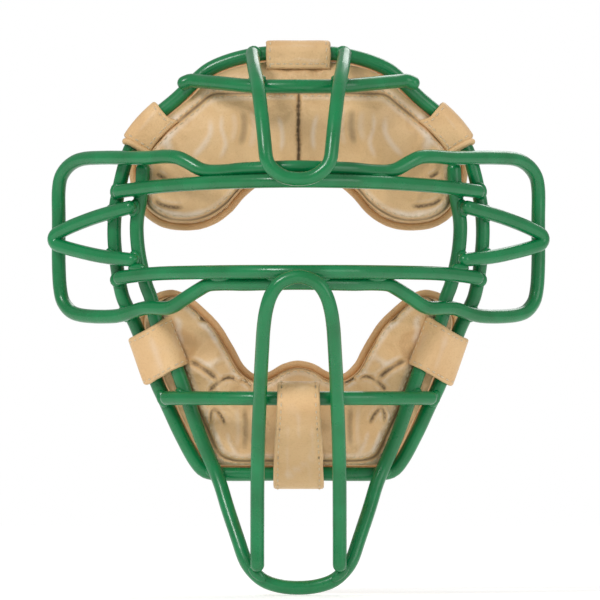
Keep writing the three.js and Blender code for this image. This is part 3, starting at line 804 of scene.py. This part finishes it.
def pad(name, keys, back_y, crown, back_crown, creases, back_creases):
    """A pad's finished skin and its front seam."""
    points, faces, seam, loose = envelope(keys, back_y, crown, back_crown)
    obj = piece(f"{name}_pad", points, faces, PAD_LEATHER, "pad_leather", "mask")
    puff(obj, loose)
    subdivided(obj)
    place, normals = vertices(obj) / MM, vertices(obj, "normal")
    facing = smoothstep(-normals[:, 1], 0.15, 0.6)
    facing_back = smoothstep(normals[:, 1], 0.15, 0.6)
    relief = np.zeros(len(place))
    for lines_here, face, inward in ((creases, facing, 1), (back_creases, facing_back, -1)):
        for line, depth, half_width in lines_here:
            other = [(CREASE_SHIFT[0] - x, CREASE_SHIFT[1] + z) for x, z in line]
            for keys_here in (line, other):
                crease(place, face, relief, keys_here, depth, half_width, inward)
    buckle = sum(height * wobble(place, size, seed) for size, height, seed in BUCKLES)
    place -= normals * buckle[:, None]
    # painted shade where the buckles sink in, painted highlight where they rise
    relief -= BUCKLE_SHADE * buckle
    to_seam, _ = along_line(place[:, [0, 2]], looped(seam))
    groove = ridge(to_seam, GROOVE_WIDTH) * facing
    place[:, 1] += GROOVE_DEPTH * groove
    # painted shade in the front seam's groove
    relief -= GROOVE_DEPTH * groove
    # a painted highlight line beside the seam
    relief += SEAM_HIGHLIGHT * ridge(to_seam - SEAM_HIGHLIGHT_AT, SEAM_HIGHLIGHT_WIDTH) * facing
    if name == "forehead":
        middle_seam(place, facing, relief)
    set_shape(obj, place, relief)
    return obj, seam


def set_shape(obj, place, relief):
    """Moves the object's points, and keeps the painted light and shade for its leather."""
    obj.data.vertices.foreach_set("co", (place * MM).ravel())
    made = obj.data.attributes.new("relief", "FLOAT", "POINT")
    made.data.foreach_set("value", np.clip(relief, -1, 1).astype(np.float32))
    obj.data.update()


STITCH_LENGTH, STITCH_PITCH, STITCH_HALF_WIDTH = 2.3, 3.5, 0.42
STITCH_STAND, STITCH_HEIGHT = 0.1, 0.6  # its middle's height, and its half-height in half-widths
CLEAR = 30  # the stitches are dropped on the surface from this far off


def stitch_row(line, tree, aim):
    """Stitches along a line, laid on the surface in the direction aim, 1 or -1, of Y."""
    at = resampled(line, STITCH_PITCH)
    way = directions(at, False)
    made = []
    for p, d in zip(at[1:-1], way[1:-1]):
        start = Vector((p - (0, aim * CLEAR, 0)) * MM)
        hit = tree.ray_cast(start, Vector((0, aim, 0)), 2 * CLEAR * MM)
        if hit[0] is None:
            continue
        spot, normal = np.array(hit[0]) / MM, np.array(hit[1])
        d = unit(d - normal * (d @ normal))
        made.append(ellipsoid(spot + normal * STITCH_STAND, (
            np.cross(normal, d) * STITCH_HALF_WIDTH, normal * STITCH_HALF_WIDTH * STITCH_HEIGHT,
            d * STITCH_LENGTH / 2), rings=5, sides=8))
    return made


def tree_of(obj):
    mesh = bmesh.new()
    mesh.from_mesh(obj.data)
    tree = BVHTree.FromBMesh(mesh)
    mesh.free()
    return tree


def back_of(middle, wrap):
    """A pad's back: flat in the middle, and from there curving back round the head."""
    return lambda x: middle + wrap * (np.maximum(0, x - FLAT_HALF) / 64) ** 2


def at_depth(loop, y):
    """(x, z) points at y, as points in space."""
    return np.column_stack([loop[:, 0], np.broadcast_to(y, len(loop)), loop[:, 1]])


# For each pad: its keys, its back, the front's and the back's crown, and their creases.
PADS = (
    ("forehead", FOREHEAD_KEYS, back_of(26, 20), 3.0, 2.4, FOREHEAD_CREASES,
     FOREHEAD_BACK_CREASES),
    ("chin", CHIN_KEYS, back_of(24, 16), 3.4, 2.4, CHIN_CREASES, CHIN_BACK_CREASES),
)
STITCHED_IN, STITCHED_OUT = 1.7, 1.5  # the rows of stitches on either side of the front seam
BACK_STITCHED_IN = WELT_INSET + 4.2
BEHIND = 60  # a depth behind every pad
for name, keys, back_y, *looks in PADS:
    skin, seam = pad(name, keys, back_y, *looks)
    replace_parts(skin, f"{name}_pad_foam", f"{name}_pad_front_cover", f"{name}_pad_back_cover")
    tree = tree_of(skin)
    outline = curve(whole(keys), SEAM_STEP, closed=True, measured=2)[:, :2]
    stitches = []
    for loop, y, aim in (
            (offset_in(seam, STITCHED_IN), 0, 1), (offset_in(seam, -STITCHED_OUT), 0, 1),
            (offset_in(outline, BACK_STITCHED_IN), BEHIND, -1)):
        stitches += stitch_row(at_depth(looped(loop), y), tree, aim)
    piece(f"{name}_pad_stitching", *merged(stitches), THREAD, "welt", "mask")
    loop = offset_in(outline, WELT_INSET)
    line = curve(at_depth(loop, back_y(np.abs(loop[:, 0])) + WELT_BACK), 1.6, closed=True)
    points, faces = tube(line, WELT_RADIUS, True, WELT_SIDES)
    outward = unit(points - line.repeat(WELT_SIDES, axis=0))
    points += 0.12 * wobble(points, 3, 4)[:, None] * outward
    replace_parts(piece(f"{name}_pad_piping", points, faces, WELT_LEATHER, "welt", "mask"),
                f"{name}_pad_welt")


# ---- Straps

# A strap's section is drawn square to the rear ring's wire, as (n, b): outward and back from the
# wire's middle.
STRAP = 2.5  # its thickness
STRAP_RADIUS = 5.05  # its middle line round a wire
CHIN_BAR_RADIUS, CHIN_RING_RADIUS = 7.5, 6.5
CHIN_RING_Z = -122.75
FLAP_START, FLAP_TURN = 0.08, math.radians(48)  # the flap's turn round the ring
EDGE_ROUND = STRAP / 2
RIM = np.array((0, 0.06, 0.25, 0.6, 1.0)) * EDGE_ROUND  # points across a rounded edge
CORNER = 4.0  # radius of a flap's corners
FRONT_ROWS = 26  # steps along a strap's front part
FLAP_STEP = 1.1
ON_RING = (0.0, 0.0, STRAP_RADIUS)

ring_line = resampled(looped(lines["rear_ring"]), 0.5)
ring_run = np.arange(len(ring_line)) * np.linalg.norm(np.diff(ring_line, axis=0), axis=1).mean()
ring_way = directions(ring_line, False)
ring_way[0] = ring_way[-1] = unit(ring_line[1] - ring_line[-2])
ring_sense = 1 if ring_way[ring_line[:, 2].argmax(), 0] > 0 else -1


def on_ring(run):
    """The ring's centre line, its outward direction and its way, a distance along it."""
    run = np.mod(run, ring_run[-1])
    centre = np.array([np.interp(run, ring_run, c) for c in ring_line.T])
    way = np.array([np.interp(run, ring_run, c) for c in ring_way.T]) * ring_sense
    out = unit(np.array((-way[2], 0, way[0])))
    return centre, out, way


def arc(n, b, radius, low, high):
    angle = np.linspace(low, high, max(3, int(abs(high - low) * radius / 0.8) + 2))
    return np.column_stack([n + radius * np.cos(angle), b + radius * np.sin(angle)])


def pulled_round(start, circles):
    """A strap's middle line from its sewn end, pulled tight over the front of some wires, to the
    outermost line of the last."""
    stops = [(*start, 0.0), *circles]

    def lean(a, b):
        apart = b[0] - a[0], b[1] - a[1]
        turn = math.asin((b[2] - a[2]) / math.hypot(*apart))
        return math.atan2(apart[1], apart[0]) - turn - math.pi / 2

    parts = [np.array([start], float)]
    for i in range(1, len(stops)):
        low = lean(stops[i - 1], stops[i])
        high = lean(stops[i], stops[i + 1]) if i + 1 < len(stops) else 0.0
        while high < low:
            high += 2 * math.pi
        parts.append(arc(*stops[i], low, high))
    return np.vstack(parts)


def flap_path(radius, reach):
    """On from the wire's outermost line, round its back, then straight back beside the wall."""
    bend = arc(0, 0, radius, FLAP_START, FLAP_TURN)
    keys = [bend[-1], (-0.1, radius + 2.5), (-0.1, (radius + reach) / 2), (-0.1, reach)]
    return np.vstack([bend, curve(keys, 1.5, measured=2)[1:]])


def beside_ring(run):
    """The inner side wire where it crosses the ring's section plane, as a circle."""
    centre, out, way = on_ring(run)
    offset = lines["throat_loop"] - centre
    near = offset[np.abs(offset @ out) < 30]
    at = near[np.abs(near @ way).argmin()]
    return at @ out, at[1], STRAP_RADIUS + 0.15


def ribbon(paths, place, half_width, thickness, corners=(0.0, CORNER)):
    """A closed strip of leather. paths has a middle line (n, b) for each place across the strip,
    from -1 to 1, all with as many points. place turns (across, n, b) into a point. corners are the
    radii at its two ends. Returns the points, the faces and each point's distance across."""
    middle = paths(0.0)
    rows, run = len(middle), distances(middle)
    points, across_at = [], []
    for m in range(rows):
        left = (run[m], run[-1] - run[m])
        half = half_width(middle[m])
        for d, radius in zip(left, corners):
            if radius and d < radius:
                half -= radius * (1 - math.sqrt(max(0, 1 - ((radius - d) / radius) ** 2)))
        inner = np.linspace(-half + EDGE_ROUND, half - EDGE_ROUND, 13)[1:-1]
        across = np.concatenate([RIM - half, inner, half - RIM[::-1]])
        end = min(min(left) / EDGE_ROUND, 1)
        thick = thickness / 2 * math.sqrt(max(0, 1 - (1 - end) ** 2))
        ends = np.minimum((half - np.abs(across)) / EDGE_ROUND, 1)
        swell = thick * np.sqrt(np.maximum(0, 1 - (1 - ends) ** 2))
        for side, order in ((1, range(len(across))), (-1, range(len(across) - 2, 0, -1))):
            for k in order:
                line = paths(across[k] / max(half, 1e-6))
                way = line[min(m + 1, rows - 1)] - line[max(m - 1, 0)]
                way = way / np.hypot(*way)
                n, b = line[m] + side * swell[k] * np.array((way[1], -way[0]))
                points.append(place(across[k], n, b))
                across_at.append(across[k])
    count = len(points) // rows
    faces = grid_faces(rows, count)
    faces += [tuple(range(count)), tuple(len(points) - count + j for j in range(count))]
    return np.array(points), faces, np.array(across_at)


STRAP_MARKS = {  # raised folds with a painted highlight in a strap's front, given as the pads' creases are
    "chin": (
        (((-9, -79), (0, -78.8), (9, -79)), -0.25, 0.6),
        (((-9.6, -89.2), (0, -89), (9.6, -89.2)), -0.3, 0.6),
        (((-5.4, -92), (-5.8, -110), (-5.4, -128)), -0.3, 1.0),
        (((6.4, -92), (6.8, -110), (6.2, -128)), -0.3, 1.0),
        (((0, -92), (0.2, -98), (0, -106)), -0.3, 1.1),
        (((-8.5, -125.5), (-2, -121), (4.9, -115), (7.4, -109)), -0.4, 1.5),
    ),
    "top": (
        (((-14, 90.4), (0, 91.2), (14, 90.4)), -0.2, 0.8),
        (((-14, 84.4), (-7, 83.2), (0, 84.6), (8, 83.4), (14, 84.2)), -0.3, 1.0),
    ),
    "upper": (
        (((-60.8, 52.6), (-66, 47.4), (-72, 41.6)), -0.3, 1.6),
        (((-70, 60.4), (-76, 53), (-81, 46.6)), -0.25, 1.0),
    ),
    "lower": (
        (((-74.4, -52.6), (-71.4, -62), (-67.2, -72.4)), -0.35, 1.6),
        (((-63.6, -51), (-61, -58), (-58, -64)), -0.2, 1.2),
    ),
}


EDGE_STITCH_IN, EDGE_PITCH, END_PITCH = 2.1, 3.4, 3.2
STRAP_STITCH = 0.36, 0.2, 1.15  # half its width, height and length
STRAP_STITCH_STAND = 0.1
TAPE_THICKNESS, TAPE_MARGIN, TAPE_CORNER = 0.9, 1.5, 1.5
TAPE_START, TAPE_END_MARGIN = 10.0, 2.0
LOOP_TAPE_OUT = -WALL_INSET + TAPE_THICKNESS  # its middle: it lies on the pad's wall
HOOK_TAPE_OUT = -2.05  # under the flap
HEM_RADIUS, HEM_SIDES = 1.7, 14
UNEVEN_EDGE = 0.5


def stitches_on(spots, paths, place, width, total):
    """Stitches on a strap's outer face. A spot is how far across and along it is, and whether the
    stitch lies across."""
    made = []
    for off, at, turned in spots:
        line = paths(np.clip(off / width, -1, 1))
        m = min(int(np.searchsorted(total, at)), len(line) - 2)
        way = unit(line[m + 1] - line[m - 1]) if m else unit(line[1] - line[0])
        n, b = line[m] + np.array((way[1], -way[0])) * (STRAP / 2 + STRAP_STITCH_STAND)
        p = place(off, n, b)
        along = unit(place(off, n + way[0], b + way[1]) - p)
        over = unit(place(off + 1, n, b) - p)
        length_way, width_way = (over, along) if turned else (along, over)
        half_width, height, half_length = STRAP_STITCH
        made.append(ellipsoid(p, (width_way * half_width, np.cross(along, over) * height,
                                  length_way * half_length), 5, 8))
    return merged(made)


def strap(name, kind, width, start, wires, radius, reach, flare=0.0, shear=0.0):
    """One leather strap with its flap, its stitching and the two faces of its closure. width is
    half its width, start its sewn end, wires the circles that it is pulled over, radius its flap's
    turn and reach its flap's end. flare changes its sewn end's width on the lower side, and shear
    slides its outer end along the ring."""
    joint = next(j for j in frame["joints"] if j["name"] == f"{name}_flap_hinge")
    pivot = np.array(joint["pos_m"]) / MM
    if kind == "chin":
        def place(across, n, b):
            return np.array((across, b + ring_y(across), CHIN_RING_Z - n))
    else:
        home = ring_run[np.linalg.norm(ring_line - pivot, axis=1).argmin()]
        before, after = on_ring(home - 5)[0], on_ring(home + 5)[0]
        lower = 1 if after[2] < before[2] else -1  # which way along the ring is down

        def place(across, n, b):
            slid = across + lower * shear * float(smoothstep(n, -16, 5))
            slid -= lower * flare * float(smoothstep(-n, 3, 10)) * (across * lower < 0)
            centre, out, _ = on_ring(home + slid)
            return centre + out * n + np.array((0, b, 0))
    flap = flap_path(radius, reach)
    made_paths = {}

    def paths(across):
        key = round(across, 3) if kind == "lower" else 0
        if key not in made_paths:
            circles = [wire(home + across * width) if callable(wire) else wire for wire in wires]
            front = pulled_round(start, circles)
            made_paths[key] = np.vstack([
                resampled(front, distances(front)[-1] / FRONT_ROWS),
                resampled(flap, FLAP_STEP)[1:]])
        return made_paths[key]

    def half_width(at):
        if kind == "chin":
            return 10.5 + 2.0 * float(smoothstep(at[0], -45, 0))
        return width - (0.7 * float(smoothstep(at[0], -2, 6)) if kind == "top" else 0)

    points, faces, across = ribbon(paths, place, half_width, STRAP)
    waver = 0.22 * wobble(points, 6, 6) + 0.1 * wobble(points, 2.5, 7)
    edge_way = np.sign(across)[:, None] * unit(place(1.0, 0, 0) - place(-1.0, 0, 0))
    uneven = UNEVEN_EDGE * wobble(points, 7, 9) * (np.abs(across) > 0.9 * width)
    points = points + edge_way * uneven[:, None]
    points[:, 1] -= waver * 0.6
    skin = piece(f"{name}_strap_leather", points, faces, STRAP_LEATHER, "strap_leather")
    closed_up(skin.data, weld=2e-6)
    spot = vertices(skin) / MM
    facing = smoothstep(-vertices(skin, "normal")[:, 1], 0.1, 0.5)
    # a little random tone to start, then the folds' painted highlights
    relief = 0.2 * wobble(spot, 8, 2)
    for line, depth, half in STRAP_MARKS[kind]:
        for side in (1, -1) if kind in ("upper", "lower") else (1,):
            crease(spot, facing, relief, [(x * side, z) for x, z in line], depth, half)
    set_shape(skin, spot, relief)
    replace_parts(skin, f"{name}_strap", f"{name}_strap_flap")
    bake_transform(skin)

    middle = paths(0.0)
    total = distances(middle)
    bend = total[FRONT_ROWS]
    for label, low, high, end, body in (
            ("front", 1.8, bend - 3, 2.0, "mask"),
            ("flap", bend + 6, total[-1] - 3.2, total[-1] - 2.2, joint["child"])):
        spots = [
            (side * (half_width(middle[np.searchsorted(total, at)]) - EDGE_STITCH_IN), at, False)
            for side in (-1, 1) for at in np.arange(low, high, EDGE_PITCH)]
        spots += [(off, end, True) for off in np.arange(-width + 4, width - 3, END_PITCH)]
        sewn = stitches_on(spots, paths, place, width, total)
        piece(f"{name}_{label}_stitching", *sewn, THREAD, "welt", body)

    for label, out, body, finish in (
            ("loop", LOOP_TAPE_OUT, "mask", LOOP_TAPE),
            ("hook", HOOK_TAPE_OUT, joint["child"], HOOK_TAPE)):
        line = resampled(np.array([(out, TAPE_START), (out, reach - TAPE_END_MARGIN)]), 1.2)
        points, faces, _ = ribbon(
            lambda _: line, place, lambda _: width - TAPE_MARGIN, TAPE_THICKNESS,
            (TAPE_CORNER, TAPE_CORNER))
        points += 0.06 * wobble(points, 1.2, 3)[:, None] * on_ring(0)[1]
        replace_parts(piece(f"{name}_{label}_tape", points, faces, finish, "tape", body),
                    f"{name}_{label}_patch")

    if kind == "upper":  # a rolled hem along the lower edge
        hem = np.array([place(lower * (width + 0.6 + 2.2 * smoothstep(n, 2, 7)), n, b)
                        for n, b in middle[:FRONT_ROWS - 2]]) + (0, -0.3, 0)
        hem = np.vstack([2.6 * hem[0] - 1.6 * hem[1], hem])  # it starts before the leather does
        points, faces = tube(resampled(hem, 1.0), HEM_RADIUS, False, HEM_SIDES)
        points += 0.12 * wobble(points, 3, 1)[:, None]
        piece(f"{name}_hem", points, faces, STRAP_LEATHER, "strap_leather", "mask")


CHIN_BAR = (-37.75, -36.0, CHIN_BAR_RADIUS)  # the mouth bar
strap("top", "top", 16.4, (-8.0, -STRAP_RADIUS), [ON_RING], STRAP_RADIUS, 23)
strap("chin", "chin", 12.5, (-27.0, -13.0), [CHIN_BAR, (0.0, 0.0, CHIN_RING_RADIUS)],
      CHIN_RING_RADIUS, 20)
for hand in ("right", "left"):
    strap(f"upper_{hand}", "upper", 11, (-9.6, -6.3), [ON_RING], STRAP_RADIUS, 23, flare=3.0)
    strap(f"lower_{hand}", "lower", 12.5, (-17.6, -8.4), [beside_ring, ON_RING], STRAP_RADIUS, 23,
          shear=2.6)


# ---- Camera, light and floor

DISTANCE = 10.0
AIM = Vector((0.00075, 0, -0.036))
ACROSS = 0.3  # what the picture's width takes in at the object
SENSOR = 36
camera = bpy.data.objects.new("camera", bpy.data.cameras.new("camera"))
camera.data.sensor_width = SENSOR
camera.data.lens = SENSOR * DISTANCE / ACROSS
camera.data.clip_end = 100
camera.location = AIM - Vector((0, DISTANCE, 0))
camera.rotation_euler = (math.pi / 2, 0, 0)
bpy.context.collection.objects.link(camera)
bpy.context.scene.camera = camera


def light(name, place, size, power):
    lamp = bpy.data.lights.new(name, "AREA")
    lamp.size = size
    lamp.energy = power
    made = bpy.data.objects.new(name, lamp)
    made.location = place
    made.rotation_euler = (AIM - Vector(place)).to_track_quat("-Z", "Y").to_euler()
    bpy.context.collection.objects.link(made)


light("key", (-0.9, -1.3, 1.2), 0.55, 17)
light("fill", (1.3, -1.2, 0.5), 1.0, 6)
light("rim", (0.5, 1.4, 1.1), 0.9, 8)

world = bpy.data.worlds.new("studio")
world.use_nodes = True
sky = world.node_tree
sky.nodes["Background"].inputs["Color"].default_value = (1, 1, 1, 1)
SKY_LIGHT = 0.5  # what the surroundings give; the camera sees them white
seen = sky.nodes.new("ShaderNodeLightPath").outputs["Is Camera Ray"]
strength = sky.nodes.new("ShaderNodeMapRange")
strength.inputs["To Min"].default_value = SKY_LIGHT
sky.links.new(seen, strength.inputs["Value"])
sky.links.new(strength.outputs["Result"], sky.nodes["Background"].inputs["Strength"])
bpy.context.scene.world = world
bpy.context.scene.view_settings.view_transform = "Standard"

FLOOR_FADE = 0.5, 1.4  # metres from the middle; the floor turns as white as the surroundings
FLOOR_GLOW = 0.3
FLOOR_HALF = 3000
FLOOR_BELOW = 0.5
floor_finish = Finish("pale_floor", Emission_Color=(1, 1, 1, 1))
away = floor_finish.node(
    "ShaderNodeVectorMath", {"Vector": floor_finish.place}, operation="LENGTH").outputs["Value"]
fade = floor_finish.spread(away, *FLOOR_FADE)
glow = floor_finish.spread(fade, 0, 1, FLOOR_GLOW, 1)
floor_finish.link(glow, floor_finish.shader.inputs["Emission Strength"])
pale = floor_finish.mix(floor_finish.noise(3), (0.88, 0.88, 0.87), (0.92, 0.92, 0.91))
floor_finish.finish(
    floor_finish.mix(fade, pale, (0, 0, 0)),
    floor_finish.spread(floor_finish.noise(30), 0, 1, 0.6, 0.8),
    floor_finish.bump(floor_finish.noise(400), 0.00005),
)
level = cad_box[0][2] / MM - FLOOR_BELOW
corners = [(x * FLOOR_HALF, y * FLOOR_HALF, level) for x, y in ((-1, -1), (1, -1), (1, 1), (-1, 1))]
floor = piece("floor", corners, [(0, 1, 2, 3)], floor_finish.material)
